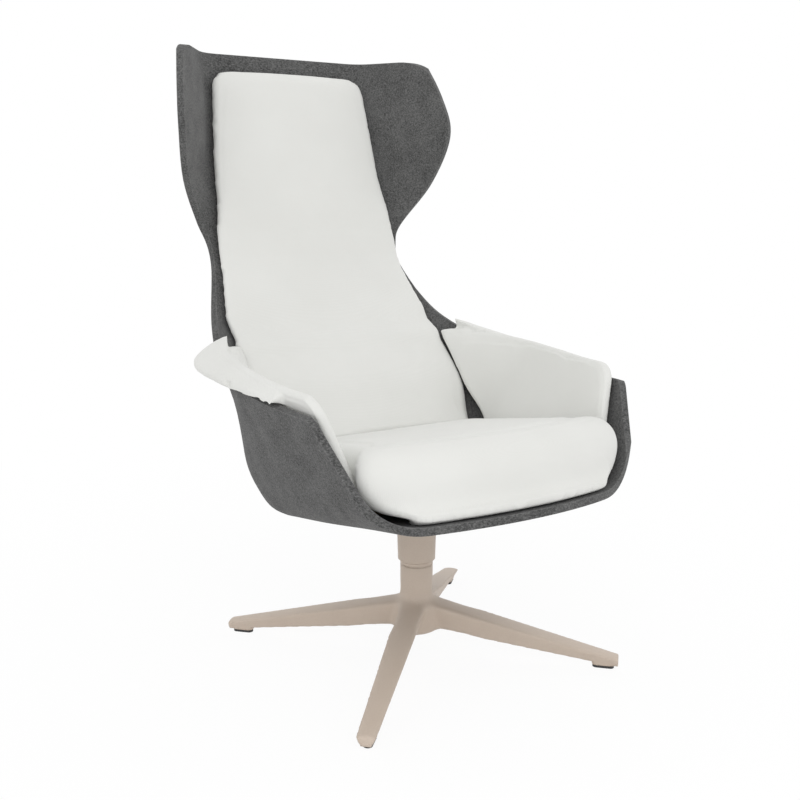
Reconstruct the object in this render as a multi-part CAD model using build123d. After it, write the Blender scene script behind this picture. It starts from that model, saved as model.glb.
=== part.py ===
from build123d import *
import math
import os
from collections import namedtuple

# Swivel lounge chair: a moulded felt shell with upholstered pads on a four-leg star base.
# Millimetres. +Z is up, -Y is the front of the chair, and the origin lies on the swivel axis at the floor.

# Shell: the felt sheet and the bowl that it is pressed into
SHELL_THICKNESS = 13.0
LIP_Y = -329.0
LIP_Z = 353.0
PAN_SLOPE = 9.6
LIP_BOW_RADIUS = 513.0
LIP_CORNER_Z = 384.0
LIP_CORNER_RADIUS = 24.0
ARM_FRONT_FOOT_Y = -261.0
ARM_FRONT_SLOPE = 30.7
ARM_FRONT_RADIUS = 34.0
ARM_RIM_Z = 505.0
ARM_RIM_MARGIN = 3.0
ARM_HALF_WIDTH = 311.0
WAIST_HALF_WIDTH = 211.0
WAIST_Z = 679.0
WING_HALF_WIDTH = 286.0
WING_Z = 945.0
TOP_Z = 1098.0
WING_CORNER_RADIUS = 80.0
HEAD_MARGIN = 3.0
SECTION_PITCH = 22.0
FINE_STEPS = 20

# Upholstery
CLEARANCE = 0.8
BOARD_THICKNESS = 4.0
BACK_PAD_TOP_Z = 1066.0
BACK_PAD_CORNER = 30.0
BACK_PAD_CROWN = 4.0
BACK_PAD_SIDE_BULGE = 3.0
BACK_PAD_MIN_BEND = 5.0
BACK_BOARD_MARGIN = 20.0
ARM_PAD_THICKNESS = 20.0
ARM_PAD_FRONT_THICKNESS = 13.0
ARM_PAD_RISE = 19.0
ARM_PAD_CROWN = 3.0
ARM_PAD_TOP_ROUND = 6.0
ARM_PAD_FRONT_FOOT_Y = -214.0
ARM_PAD_FRONT_FOOT_Z = 392.0
ARM_PAD_FRONT_SLOPE = 15.0
ARM_PAD_FRONT_RADIUS = 52.0
ARM_PAD_TOP_Z = 537.0
ARM_PAD_FOOT = 2.0
ARM_CORE_MARGIN = 14.0
FLAP_DEPTH = 17.0
FLAP_EDGE_RADIUS = 6.0
FLAP_GAP = 2.5
FLAP_OVER_RIM = 1.2
FLAP_ROOT = 10.0
FLAP_CREST_IN = 13.0
FLAP_CREST_RISE = 22.0
FLAP_CROWN = 3.0
FLAP_TUCK = 2.0
SEAT_BOARD_THICKNESS = 10.0
SEAT_BOARD_WIDTH = 330.0
SEAT_BOARD_DEPTH = 220.0
SEAT_BOARD_Y = -45.0
SEAT_BOARD_CORNER = 30.0
CUSHION_HEIGHT = 115.8
CUSHION_LEAN = 1.0
CUSHION_HALF_WIDTH = 232.0
CUSHION_FRONT_HALF_WIDTH = 256.0
CUSHION_REAR = 129.0
CUSHION_REAR_TAPER = 10.0
CUSHION_REAR_CORNER = 40.0
CUSHION_FRONT_SETBACK = 2.0
CUSHION_FLARE_Y = -228.0
CUSHION_FRONT_CORNER = 20.0

# Layers of the seat cushion from the pan up: share of its height, and what is taken off the sides,
# the front and the rear there.
Layer = namedtuple("Layer", "share side front rear")
CUSHION_LAYERS = [
    Layer(0.012, 70, 10, 66),
    Layer(0.23, 24, 2, 14),
    Layer(0.49, 1, 0, 0),
    Layer(0.75, 1, 4, 3),
    Layer(0.92, 13, 22, 18),
    Layer(0.985, 38, 50, 44),
    Layer(1.0, 68, 82, 74),
]

# Arm flaps: depth on the chair, how far out the flap reaches and how high its outer edge lies
Flap = namedtuple("Flap", "y reach_x edge_z")
FLAPS = [
    Flap(-95, ARM_HALF_WIDTH + 14, ARM_RIM_Z + 14),
    Flap(-45, ARM_HALF_WIDTH + 17, ARM_RIM_Z + 17),
    Flap(20, ARM_HALF_WIDTH + 22, ARM_RIM_Z + 21),
    Flap(75, ARM_HALF_WIDTH + 26, ARM_RIM_Z + 24),
    Flap(130, ARM_HALF_WIDTH + 28, ARM_RIM_Z + 27),
    Flap(180, ARM_HALF_WIDTH + 27, ARM_RIM_Z + 31),
    Flap(215, ARM_HALF_WIDTH + 20, ARM_RIM_Z + 36),
    Flap(238, ARM_HALF_WIDTH + 6, ARM_RIM_Z + 42),
    Flap(250, ARM_HALF_WIDTH - 8, ARM_RIM_Z + 48),
]

# Swivel
SPINDLE_DIAMETER = 30.0
RUNNING_CLEARANCE = 0.05
PRESS_GAP = 0.02
AXIAL_PLAY = 0.1
SHOULDER_DIAMETER = 48.0
SHOULDER_HEIGHT = 8.0
THREAD_DIAMETER = 20.0
THREAD_LENGTH = 19.0
BUSH_WALL = 5.0
BUSH_LENGTH = 28.0
BUSH_FLANGE_DIAMETER = 47.0
BUSH_FLANGE = 3.0
THRUST_WASHER_DIAMETER = 46.0
THRUST_WASHER_THICKNESS = 2.5
COLUMN_DIAMETER = 59.0
COLUMN_TOP_Z = 238.0
SPIGOT_DIAMETER = 48.0
SPIGOT_LENGTH = 55.0
SEAM_Z = 167.0
SEAM_CHAMFER = 0.8
SLEEVE_DIAMETER = 67.5
SLEEVE_TOP_DIAMETER = 73.5
SLEEVE_BOTTOM_Z = 174.0
SLEEVE_GAP = 0.9
SLEEVE_CHAMFER = 2.2
NUT_ACROSS_FLATS = 30.0
NUT_HEIGHT = 12.0
RETAINING_WASHER_DIAMETER = 44.0
RETAINING_WASHER_THICKNESS = 3.0
PLATE_WIDTH = 170.0
PLATE_DEPTH = 150.0
PLATE_THICKNESS = 6.0
PLATE_CORNER = 18.0
BOLT_DIAMETER = 8.0
BOLT_HOLE_CLEARANCE = 0.4
BOLT_HEAD_DIAMETER = 14.0
BOLT_HEAD_HEIGHT = 5.0
BOLT_SPACING_X = 120.0
BOLT_SPACING_Y = 96.0
TEE_NUT_FLANGE_DIAMETER = 22.0
TEE_NUT_FLANGE = 1.6
TEE_NUT_BARREL_DIAMETER = 10.5
TEE_NUT_BARREL = 8.0

# Star base
LEG_COUNT = 4
LEG_REACH = 366.0
LEG_ROOT_R = 24.0
LEG_ROOT_TOP_Z = 98.0
LEG_ROOT_DEPTH = 52.0
LEG_ROOT_WIDTH = 52.0
LEG_TIP_TOP_Z = 19.0
LEG_TIP_WIDTH = 32.0
LEG_TIP_DEPTH = 14.0
LEG_TIP_RADIUS = 14.0
LEG_BOTTOM_WIDTH = 16.0
LEG_CROWN = 3.0
HUB_BOTTOM_Z = 40.0
HUB_RECESS_DIAMETER = 52.0
HUB_FILLET = 11.5
COVER_THICKNESS = 3.0
COVER_GAP = 0.1
GLIDE_LENGTH = 38.0
GLIDE_WIDTH = 15.0
GLIDE_THICKNESS = 4.0
GLIDE_SETBACK = 7.0
FOOT_BOSS_MARGIN = 1.5
FOOT_BOSS_TOP_Z = 14.0
SCREW_DIAMETER = 4.0
SCREW_LENGTH = 9.0
SCREW_HEAD_DIAMETER = 7.0
SCREW_HEAD_HEIGHT = 2.2
SCREW_HEAD_RECESS = 0.6
SCREW_PLAY = 0.2

# Clips that hold the pad boards to the shell: station, and place across the back or share of the side wall
CLIP_SHANK_DIAMETER = 7.0
CLIP_HEAD_DIAMETER = 14.0
CLIP_HEAD_HEIGHT = 2.0
CLIP_DEPTH = 8.0
CLIP_PLAY = 0.3
BACK_CLIP_X = 105.0
BACK_CLIP_STATIONS = [8.0, 12.0, 15.5]
ARM_CLIP_SHARE = 0.5
ARM_CLIP_STATIONS = [2.4, 4.5, 6.2]

FAR = 900.0
TOLERANCE = 0.001
ROUND = math.sqrt(2) - 1
PAD_DEPTH = 2 * CLEARANCE + BOARD_THICKNESS

os.makedirs("parts", exist_ok=True)


def pan_z(y):
    """Height of the seat pan's inner face at the given depth."""
    return LIP_Z - (y - LIP_Y) * math.tan(math.radians(PAN_SLOPE))


# Stations of the shell from the lip to the top. Each is a plane across the chair that holds the middle of
# the inner face and the inner edge of the rim. Bend and turn give the bend between the flat and the side.
# Pad is half the width of the back pad there, edge its thickness at the sides and front its thickness
# in the middle.
Station = namedtuple("Station", "mid_y mid_z rim_x rim_y rim_z bend turn pad edge front")
STATIONS = [
    Station(-350, pan_z(-350), ARM_HALF_WIDTH - 15, -350, ARM_RIM_Z, 105, 70, 200, 40, 58),
    Station(-205, pan_z(-205), ARM_HALF_WIDTH - 12, -228, ARM_RIM_Z, 80, 71, 200, 40, 58),
    Station(-90, pan_z(-90), ARM_HALF_WIDTH - 8, -130, ARM_RIM_Z + 1, 54, 72, 200, 40, 58),
    Station(0, pan_z(0), ARM_HALF_WIDTH - 3, -70, ARM_RIM_Z + 4, 43, 72.5, 200, 40, 58),
    Station(70, pan_z(70), ARM_HALF_WIDTH, -22, ARM_RIM_Z + 8, 42, 73, 200, 40, 58),
    Station(112, pan_z(70) + 8, ARM_HALF_WIDTH, 12, ARM_RIM_Z + 11, 48, 73.5, 218, 40, 58),
    Station(155, pan_z(70) + 53, ARM_HALF_WIDTH - 1, 48, ARM_RIM_Z + 15, 64, 73, 226, 38, 58),
    Station(215, pan_z(70) + 119, ARM_HALF_WIDTH - 8, 105, ARM_RIM_Z + 21, 88, 63, 236, 26, 63),
    Station(294, pan_z(70) + 215, ARM_HALF_WIDTH - 29, 195, ARM_RIM_Z + 35, 125, 52, 229, 18, 64),
    Station(325, pan_z(70) + 262, ARM_HALF_WIDTH - 45, 243, ARM_RIM_Z + 47, 150, 47, 229, 18, 65),
    Station(356, WAIST_Z - 86, WAIST_HALF_WIDTH + 29, 320, WAIST_Z - 86, 120, 40, 225, 18, 55),
    Station(404, WAIST_Z, WAIST_HALF_WIDTH, 395, WAIST_Z, 373, 12, 204, 18, 44),
    Station(425, WAIST_Z + 50, WAIST_HALF_WIDTH, 411, WAIST_Z + 50, 209, 20, 202, 18, 42),
    Station(437, WAIST_Z + 85, WAIST_HALF_WIDTH + 14, 410, WAIST_Z + 85, 145, 33, 199, 18, 41),
    Station(460, WING_Z - 96, WING_HALF_WIDTH - 19, 362, WING_Z - 96, 65, 52, 189, 18, 38),
    Station(484, WING_Z, WING_HALF_WIDTH, 324, WING_Z, 55, 56, 181, 18, 38),
    Station(498, TOP_Z - 73, WING_HALF_WIDTH - 8, 345, TOP_Z - 73, 55, 56, 172, 18, 36),
    Station(513, TOP_Z + 12, WING_HALF_WIDTH - 28, 392, TOP_Z + 12, 55, 56, 158, 18, 35),
]
TOP_STATION = len(STATIONS) - 1
PLATE_STATIONS = (2.0, 4.0)
BOARD_STATIONS = (1.2, 4.0)
PAD_FOOT = 6.0
PAD_SHOULDER = 8.0
BACK_BOARD_FOOT = 7.0
BACK_BOARD_TOP_Z = BACK_PAD_TOP_Z - 40
ARM_PAD_FRONT = 0.8
ARM_PAD_FULL = 1.6
ARM_PAD_REAR = 9.0
ARM_CORE_FRONT = 1.6
ARM_CORE_REAR = 8.2
LARGEST_BEND_SHARE = 0.97


def smooth(values, s):
    """Catmull-Rom value at the fractional index s of a list of numbers."""
    last = len(values) - 1
    i = min(int(s), last - 1)
    t = s - i
    before = values[i - 1] if i > 0 else 2 * values[0] - values[1]
    after = values[i + 2] if i + 2 <= last else 2 * values[last] - values[last - 1]
    here, there = values[i], values[i + 1]
    bend = 2 * before - 5 * here + 4 * there - after
    twist = 3 * (here - there) + after - before
    return here + t * (there - before + t * (bend + t * twist)) / 2


def between(a, b, share):
    """Value between a and b, held at a below share 0 and at b above share 1."""
    return a + (b - a) * min(1.0, max(0.0, share))


class Section:
    """One plane across the shell, with x to the side and w from the middle of the sheet to the rim."""

    def __init__(self, s):
        station = Station(*[smooth(column, s) for column in zip(*STATIONS)])
        self.middle = Vector(0, station.mid_y, station.mid_z)
        reach = Vector(0, station.rim_y, station.rim_z) - self.middle
        self.up = reach.normalized()
        self.rim_w = reach.length
        self.rim_x = station.rim_x
        self.pad = station.pad
        self.edge = station.edge
        self.front = station.front
        self.turn = math.radians(station.turn)
        self.bend = min(station.bend, LARGEST_BEND_SHARE * self.rim_w / (1 - math.cos(self.turn)))
        rise = self.bend * (1 - math.cos(self.turn))
        self.side = (self.rim_w - rise) / math.sin(self.turn)
        self.flat = self.rim_x - self.bend * math.sin(self.turn) - self.side * math.cos(self.turn)

    def at(self, x, w):
        """Point in space of the in-plane place x, w."""
        return self.middle + Vector(x, 0, 0) + self.up * w

    def rim(self):
        """Point in space of the rim's inner edge on the right."""
        return self.at(self.rim_x, self.rim_w)

    def on_bend(self, angle, depth):
        """In-plane place on the bend, depth inside the sheet's inner face."""
        radius = self.bend - depth
        return (self.flat + radius * math.sin(angle), self.bend - radius * math.cos(angle))

    def on_side(self, down, depth):
        """In-plane place on the side, measured down from the rim and inwards from the sheet."""
        x = self.rim_x - down * math.cos(self.turn) - depth * math.sin(self.turn)
        w = self.rim_w - down * math.sin(self.turn) + depth * math.cos(self.turn)
        return (x, w)

    def bend_angle(self, x, depth):
        """Angle on the bend at which the face at that depth reaches x."""
        share = (x - self.flat) / (self.bend - depth)
        return math.asin(min(share, math.sin(self.turn)))

    def narrowed(self, half):
        """The same plane with a flat that leaves some bend inside the given half width."""
        self.flat = min(self.flat, half - BACK_PAD_MIN_BEND)
        return self


def line(section, a, b):
    return Edge.make_line(section.at(*a), section.at(*b))


def arc(section, a, b, c):
    return Edge.make_three_point_arc(section.at(*a), section.at(*b), section.at(*c))


def mirrored(place):
    return (-place[0], place[1])


def bowed(a, b, bow):
    """Place beside the middle of a and b, moved to the left of the way from a to b."""
    dx, dw = b[0] - a[0], b[1] - a[1]
    length = math.hypot(dx, dw)
    return ((a[0] + b[0]) / 2 - bow * dw / length, (a[1] + b[1]) / 2 + bow * dx / length)


def even_steps(first, last):
    """Fractional station numbers from first to last, evenly spread along the sheet."""
    fine = round((last - first) * FINE_STEPS)
    marks = [first + (last - first) * i / fine for i in range(fine + 1)]
    sections = [Section(s) for s in marks]
    way = [0.0]
    for a, b in zip(sections, sections[1:]):
        way.append(way[-1] + ((a.middle - b.middle).length + (a.rim() - b.rim()).length) / 2)
    count = max(2, round(way[-1] / SECTION_PITCH))
    steps = []
    j = 0
    for k in range(count + 1):
        goal = way[-1] * k / count
        while j < fine - 1 and way[j + 1] < goal:
            j += 1
        share = (goal - way[j]) / (way[j + 1] - way[j])
        steps.append(between(marks[j], marks[j + 1], share))
    return steps


def find_station(measure, goal, low, high):
    """Fractional station at which a measure that grows along the sheet reaches the goal."""
    while high - low > TOLERANCE:
        s = (low + high) / 2
        if measure(Section(s)) < goal:
            low = s
        else:
            high = s
    return low


def side_prism(outline, corners):
    """Solid across the whole chair from a side-view outline, with some corners rounded."""
    face = make_face(Polyline(*outline, close=True))
    for place, radius in corners:
        face = fillet(face.vertices().sort_by_distance(place)[0], radius)
    return extrude(Plane.YZ * face, FAR, both=True)


def left_of(right):
    return mirror(right, about=Plane.YZ)


def cylinder_at(frame, diameter, low, high):
    """Cylinder on a frame's axis between two heights."""
    return frame * Pos(0, 0, low) * Cylinder(diameter / 2, high - low, align=(Align.CENTER, Align.CENTER, Align.MIN))


def ring(outer, inner, low, high):
    """Ring about the swivel axis between two heights."""
    return cylinder_at(Plane.XY, outer, low, high) - cylinder_at(Plane.XY, inner, low, high)


def face_chain(section, depth):
    """Places of the sheet's face from the middle out to the rim: flat end, mid bend, bend end, rim."""
    return [
        (section.flat, depth),
        section.on_bend(section.turn / 2, depth),
        section.on_bend(section.turn, depth),
        section.on_side(0, depth),
    ]


def sheet_wire(section, near, far):
    """Closed outline of the sheet between two depths."""
    inner = face_chain(section, near)
    outer = face_chain(section, far)
    left_inner = [mirrored(place) for place in inner]
    left_outer = [mirrored(place) for place in outer]
    edges = [
        line(section, left_inner[3], left_inner[2]),
        arc(section, left_inner[2], left_inner[1], left_inner[0]),
        line(section, left_inner[0], inner[0]),
        arc(section, inner[0], inner[1], inner[2]),
        line(section, inner[2], inner[3]),
        line(section, inner[3], outer[3]),
        line(section, outer[3], outer[2]),
        arc(section, outer[2], outer[1], outer[0]),
        line(section, outer[0], left_outer[0]),
        arc(section, left_outer[0], left_outer[1], left_outer[2]),
        line(section, left_outer[2], left_outer[3]),
        line(section, left_outer[3], left_inner[3]),
    ]
    return Wire(edges)


def make_shell():
    """The felt sheet, trimmed to the bowed lip, the raked arm fronts and the rounded head."""
    sheet = Solid.make_loft([sheet_wire(Section(s), 0, -SHELL_THICKNESS) for s in even_steps(0, TOP_STATION)])
    bow = Pos(0, LIP_Y + LIP_BOW_RADIUS, 0) * Cylinder(LIP_BOW_RADIUS, 4 * FAR)
    arm_top = ARM_RIM_Z + ARM_RIM_MARGIN
    arm_y = ARM_FRONT_FOOT_Y + (arm_top - LIP_CORNER_Z) * math.tan(math.radians(ARM_FRONT_SLOPE))
    arm_end = arm_y + 2 * ARM_FRONT_RADIUS
    front = side_prism(
        [
            (-FAR, LIP_CORNER_Z),
            (ARM_FRONT_FOOT_Y, LIP_CORNER_Z),
            (arm_y, arm_top),
            (arm_end, arm_top),
            (arm_end, FAR),
            (-FAR, FAR),
        ],
        [((ARM_FRONT_FOOT_Y, LIP_CORNER_Z), LIP_CORNER_RADIUS), ((arm_y, arm_top), ARM_FRONT_RADIUS)],
    )
    low, high = STATIONS[-2], STATIONS[-1]
    lean = (high.rim_y - low.rim_y) / (high.rim_z - low.rim_z)
    corner_y = high.rim_y - (high.rim_z - TOP_Z) * lean - HEAD_MARGIN
    foot_z = low.rim_z - WING_CORNER_RADIUS
    foot_y = low.rim_y - WING_CORNER_RADIUS * lean - HEAD_MARGIN
    head = side_prism(
        [(-FAR, foot_z), (foot_y, foot_z), (corner_y, TOP_Z), (FAR, TOP_Z), (FAR, 2 * FAR), (-FAR, 2 * FAR)],
        [((corner_y, TOP_Z), WING_CORNER_RADIUS)],
    )
    return (sheet & bow) - front - head


def make_plate_frame():
    """Frame of the seat plate's top: on the swivel axis, against the underside of the pan."""
    first, last = PLATE_STATIONS
    marks = [first + (last - first) * i / FINE_STEPS for i in range(FINE_STEPS + 1)]
    under = [Section(s).at(0, -SHELL_THICKNESS) for s in marks]
    slope = (under[-1].Z - under[0].Z) / (under[-1].Y - under[0].Y)
    level = min(point.Z - slope * point.Y for point in under)
    return Plane(origin=(0, 0, level - CLEARANCE), x_dir=(1, 0, 0), z_dir=(0, -slope, 1))


def board_level(frame):
    """Height of the seat board's underside above the plate's top."""
    first, last = BOARD_STATIONS
    marks = [first + (last - first) * i / FINE_STEPS for i in range(FINE_STEPS + 1)]
    return max(frame.to_local_coords(Section(s).middle).Z for s in marks) + CLEARANCE


def bolt_frames(frame):
    places = GridLocations(BOLT_SPACING_X, BOLT_SPACING_Y, 2, 2)
    return [Plane(frame.location * place) for place in places]


def back_clip_frames():
    """Frames on the back's inner face, looking into the room."""
    frames = []
    for s in BACK_CLIP_STATIONS:
        here = Section(s)
        way = Section(s + TOLERANCE).middle - Section(s - TOLERANCE).middle
        out = Vector(0, -way.Z, way.Y)
        for x in (-BACK_CLIP_X, BACK_CLIP_X):
            frames.append(Plane(origin=here.at(x, 0), x_dir=(1, 0, 0), z_dir=out))
    return frames


def arm_clip_frames():
    """Frames on the right side wall's inner face, looking into the room."""
    frames = []
    for s in ARM_CLIP_STATIONS:
        here = Section(s)
        place = here.on_side(here.side * ARM_CLIP_SHARE, 0)
        out = here.up * math.cos(here.turn) - Vector(math.sin(here.turn), 0, 0)
        frames.append(Plane(origin=here.at(*place), z_dir=out))
    return frames


def clip(frame):
    shank = cylinder_at(frame, CLIP_SHANK_DIAMETER, -CLIP_DEPTH, BOARD_THICKNESS + 2 * CLEARANCE)
    head = cylinder_at(frame, CLIP_HEAD_DIAMETER, PAD_DEPTH, PAD_DEPTH + CLIP_HEAD_HEIGHT)
    return shank + head


def clip_room(frame):
    """Room for one clip in the shell, the board and the pad."""
    shank = cylinder_at(
        frame, CLIP_SHANK_DIAMETER + CLIP_PLAY, -CLIP_DEPTH - CLIP_PLAY, PAD_DEPTH + CLIP_HEAD_HEIGHT
    )
    head = cylinder_at(
        frame, CLIP_HEAD_DIAMETER + CLIP_PLAY, PAD_DEPTH - CLIP_PLAY, PAD_DEPTH + CLIP_HEAD_HEIGHT + CLIP_PLAY
    )
    return shank + head


def pad_wire(section, half, fullness):
    """Outline of the back pad: it follows the shell behind and is crowned in front."""
    section = section.narrowed(half)
    angle = section.bend_angle(half, PAD_DEPTH)
    inner = (section.flat, PAD_DEPTH)
    bend = section.on_bend(angle / 2, PAD_DEPTH)
    back = section.on_bend(angle, PAD_DEPTH)
    front = section.on_bend(angle, PAD_DEPTH + section.edge * fullness)
    crest = (0, front[1] + max(BACK_PAD_CROWN, section.front - front[1]) * fullness)
    side = bowed(back, front, -BACK_PAD_SIDE_BULGE)
    edges = [
        arc(section, mirrored(back), mirrored(bend), mirrored(inner)),
        line(section, mirrored(inner), inner),
        arc(section, inner, bend, back),
        arc(section, back, side, front),
        arc(section, front, crest, mirrored(front)),
        arc(section, mirrored(front), mirrored(side), mirrored(back)),
    ]
    return Wire(edges)


def middle_height(section):
    return section.middle.Z


def make_back_pad():
    """Upholstered back: drawn in at the top corners, with a crowned front."""
    shoulder = find_station(middle_height, BACK_PAD_TOP_Z - BACK_PAD_CORNER, PAD_SHOULDER, TOP_STATION)
    wires = []
    for s in even_steps(PAD_FOOT, shoulder):
        section = Section(s)
        wires.append(pad_wire(section, section.pad, 1.0))
    for degrees in (30, 55, 75, 90):
        turn = math.radians(degrees)
        z = BACK_PAD_TOP_Z - BACK_PAD_CORNER * (1 - math.sin(turn))
        section = Section(find_station(middle_height, z, PAD_SHOULDER, TOP_STATION))
        half = section.pad - BACK_PAD_CORNER * (1 - math.cos(turn))
        wires.append(pad_wire(section, half, (1 + math.cos(turn)) / 2))
    return Solid.make_loft(wires)


def board_wire(section, half):
    """Outline of the back board against the shell."""
    section = section.narrowed(half)
    near, far = CLEARANCE, CLEARANCE + BOARD_THICKNESS
    angle = section.bend_angle(half, near)
    inner = [(section.flat, near), section.on_bend(angle / 2, near), section.on_bend(angle, near)]
    outer = [(section.flat, far), section.on_bend(angle / 2, far), section.on_bend(angle, far)]
    edges = [
        line(section, mirrored(inner[0]), inner[0]),
        arc(section, inner[0], inner[1], inner[2]),
        line(section, inner[2], outer[2]),
        arc(section, outer[2], outer[1], outer[0]),
        line(section, outer[0], mirrored(outer[0])),
        arc(section, mirrored(outer[0]), mirrored(outer[1]), mirrored(outer[2])),
        line(section, mirrored(outer[2]), mirrored(inner[2])),
        arc(section, mirrored(inner[2]), mirrored(inner[1]), mirrored(inner[0])),
    ]
    return Wire(edges)


def make_back_board():
    top = find_station(middle_height, BACK_BOARD_TOP_Z, PAD_SHOULDER, TOP_STATION)
    sections = [Section(s) for s in even_steps(BACK_BOARD_FOOT, top)]
    return Solid.make_loft([board_wire(section, section.pad - BACK_BOARD_MARGIN) for section in sections])


def arm_pad_wire(s):
    """Outline of the right arm pad on the side wall: flat outside, crowned inside, rounded on top."""
    section = Section(s)
    full = (s - ARM_PAD_FRONT) / (ARM_PAD_FULL - ARM_PAD_FRONT)
    far = PAD_DEPTH + between(ARM_PAD_FRONT_THICKNESS, ARM_PAD_THICKNESS, full)
    foot = section.side - ARM_PAD_FOOT
    outer_foot = section.on_side(foot, PAD_DEPTH)
    outer_top = section.on_side(-ARM_PAD_RISE, PAD_DEPTH)
    inner_top = section.on_side(-ARM_PAD_RISE, far)
    inner_foot = section.on_side(foot, far)
    edges = [
        line(section, outer_foot, outer_top),
        arc(section, outer_top, bowed(outer_top, inner_top, -ARM_PAD_TOP_ROUND), inner_top),
        arc(section, inner_top, bowed(inner_top, inner_foot, -ARM_PAD_CROWN), inner_foot),
        line(section, inner_foot, outer_foot),
    ]
    return Wire(edges)


def rim_depth(section):
    return section.rim().Y


def flap_wire(flap):
    """Outline of the flap that hangs over the rim, at one depth of the chair."""
    section = Section(find_station(rim_depth, flap.y, ARM_PAD_FRONT, ARM_PAD_REAR + 1))
    rim = section.rim()
    wall_x = rim.X + SHELL_THICKNESS / math.sin(section.turn) + FLAP_GAP
    over = rim.Z + FLAP_OVER_RIM
    under = flap.edge_z - FLAP_DEPTH
    crest = (rim.X - FLAP_CREST_IN, rim.Z + FLAP_CREST_RISE)
    edge = (flap.reach_x - FLAP_EDGE_RADIUS, flap.edge_z)
    face = (flap.reach_x, flap.edge_z - FLAP_EDGE_RADIUS)
    places = [
        (rim.X - FLAP_ROOT, over),
        crest,
        edge,
        face,
        (flap.reach_x - FLAP_TUCK, under),
        (wall_x, under),
        (wall_x, over),
    ]
    points = [Vector(x, flap.y, z) for x, z in places]
    top = bowed(crest, edge, FLAP_CROWN)
    corner = bowed(edge, face, FLAP_EDGE_RADIUS * ROUND / 2)
    edges = [
        Edge.make_line(points[0], points[1]),
        Edge.make_three_point_arc(points[1], Vector(top[0], flap.y, top[1]), points[2]),
        Edge.make_three_point_arc(points[2], Vector(corner[0], flap.y, corner[1]), points[3]),
        Edge.make_line(points[3], points[4]),
        Edge.make_line(points[4], points[5]),
        Edge.make_line(points[5], points[6]),
        Edge.make_line(points[6], points[0]),
    ]
    return Wire(edges)


def make_arm_pad():
    """Right arm pad: a slab on the side wall with a raked front, and the flap over the rim."""
    slab = Solid.make_loft([arm_pad_wire(s) for s in even_steps(ARM_PAD_FRONT, ARM_PAD_REAR)])
    rake = math.tan(math.radians(ARM_PAD_FRONT_SLOPE))
    foot_y = ARM_PAD_FRONT_FOOT_Y - ARM_PAD_FRONT_FOOT_Z * rake
    top_y = ARM_PAD_FRONT_FOOT_Y + (ARM_PAD_TOP_Z - ARM_PAD_FRONT_FOOT_Z) * rake
    end_y = top_y + 2 * ARM_PAD_FRONT_RADIUS
    front = side_prism(
        [(-FAR, 0), (foot_y, 0), (top_y, ARM_PAD_TOP_Z), (end_y, ARM_PAD_TOP_Z), (end_y, FAR), (-FAR, FAR)],
        [((top_y, ARM_PAD_TOP_Z), ARM_PAD_FRONT_RADIUS)],
    )
    flap = Solid.make_loft([flap_wire(flap) for flap in FLAPS])
    return (slab - front) + flap


def make_arm_core():
    """Thin board of the right arm pad, against the side wall."""
    near, far = CLEARANCE, CLEARANCE + BOARD_THICKNESS
    wires = []
    for s in even_steps(ARM_CORE_FRONT, ARM_CORE_REAR):
        section = Section(s)
        foot = section.side - ARM_CORE_MARGIN
        places = [
            section.on_side(foot, near),
            section.on_side(ARM_CORE_MARGIN, near),
            section.on_side(ARM_CORE_MARGIN, far),
            section.on_side(foot, far),
        ]
        wires.append(Wire([line(section, a, b) for a, b in zip(places, places[1:] + places[:1])]))
    return Solid.make_loft(wires)


def corner_middle(start, corner, end):
    """Middle of a rounded corner between two places."""
    x = (start[0] + end[0]) / 2
    y = (start[1] + end[1]) / 2
    return (x + ROUND * (corner[0] - x), y + ROUND * (corner[1] - y))


def cushion_wire(layer):
    """Plan outline of the seat cushion at one layer, on the sloping pan."""
    front_y = LIP_Y + CUSHION_FRONT_SETBACK + layer.front

    def bow_y(x):
        return front_y + LIP_BOW_RADIUS - math.sqrt(LIP_BOW_RADIUS ** 2 - x ** 2)

    side = CUSHION_HALF_WIDTH - layer.side
    wide = CUSHION_FRONT_HALF_WIDTH - layer.side
    rear_x = side - CUSHION_REAR_TAPER
    rear_y = CUSHION_REAR - layer.rear
    rear = (rear_x - CUSHION_REAR_CORNER, rear_y)
    rear_side = (rear_x, rear_y - CUSHION_REAR_CORNER)
    front_side = (side, CUSHION_FLARE_Y + layer.front)
    flare = (wide, bow_y(wide) + CUSHION_FRONT_CORNER)
    front = (wide - CUSHION_FRONT_CORNER, bow_y(wide - CUSHION_FRONT_CORNER))
    rear_corner = corner_middle(rear, (rear_x, rear_y), rear_side)
    front_corner = corner_middle(flare, (wide, bow_y(wide)), front)
    slope = math.radians(PAN_SLOPE)
    frame = Plane(origin=(0, 0, pan_z(0)), x_dir=(1, 0, 0), z_dir=(0, math.sin(slope), math.cos(slope)))
    lean = layer.share * math.tan(math.radians(CUSHION_LEAN))

    def spot(place):
        return frame.from_local_coords(Vector(place[0], place[1], layer.share * CUSHION_HEIGHT - lean * place[1]))

    def straight(a, b):
        return Edge.make_line(spot(a), spot(b))

    def curve(a, b, c):
        return Edge.make_three_point_arc(spot(a), spot(b), spot(c))

    edges = [
        straight(mirrored(rear), rear),
        curve(rear, rear_corner, rear_side),
        straight(rear_side, front_side),
        straight(front_side, flare),
        curve(flare, front_corner, front),
        curve(front, (0, front_y), mirrored(front)),
        curve(mirrored(front), mirrored(front_corner), mirrored(flare)),
        straight(mirrored(flare), mirrored(front_side)),
        straight(mirrored(front_side), mirrored(rear_side)),
        curve(mirrored(rear_side), mirrored(rear_corner), mirrored(rear)),
    ]
    return Wire(edges)


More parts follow.
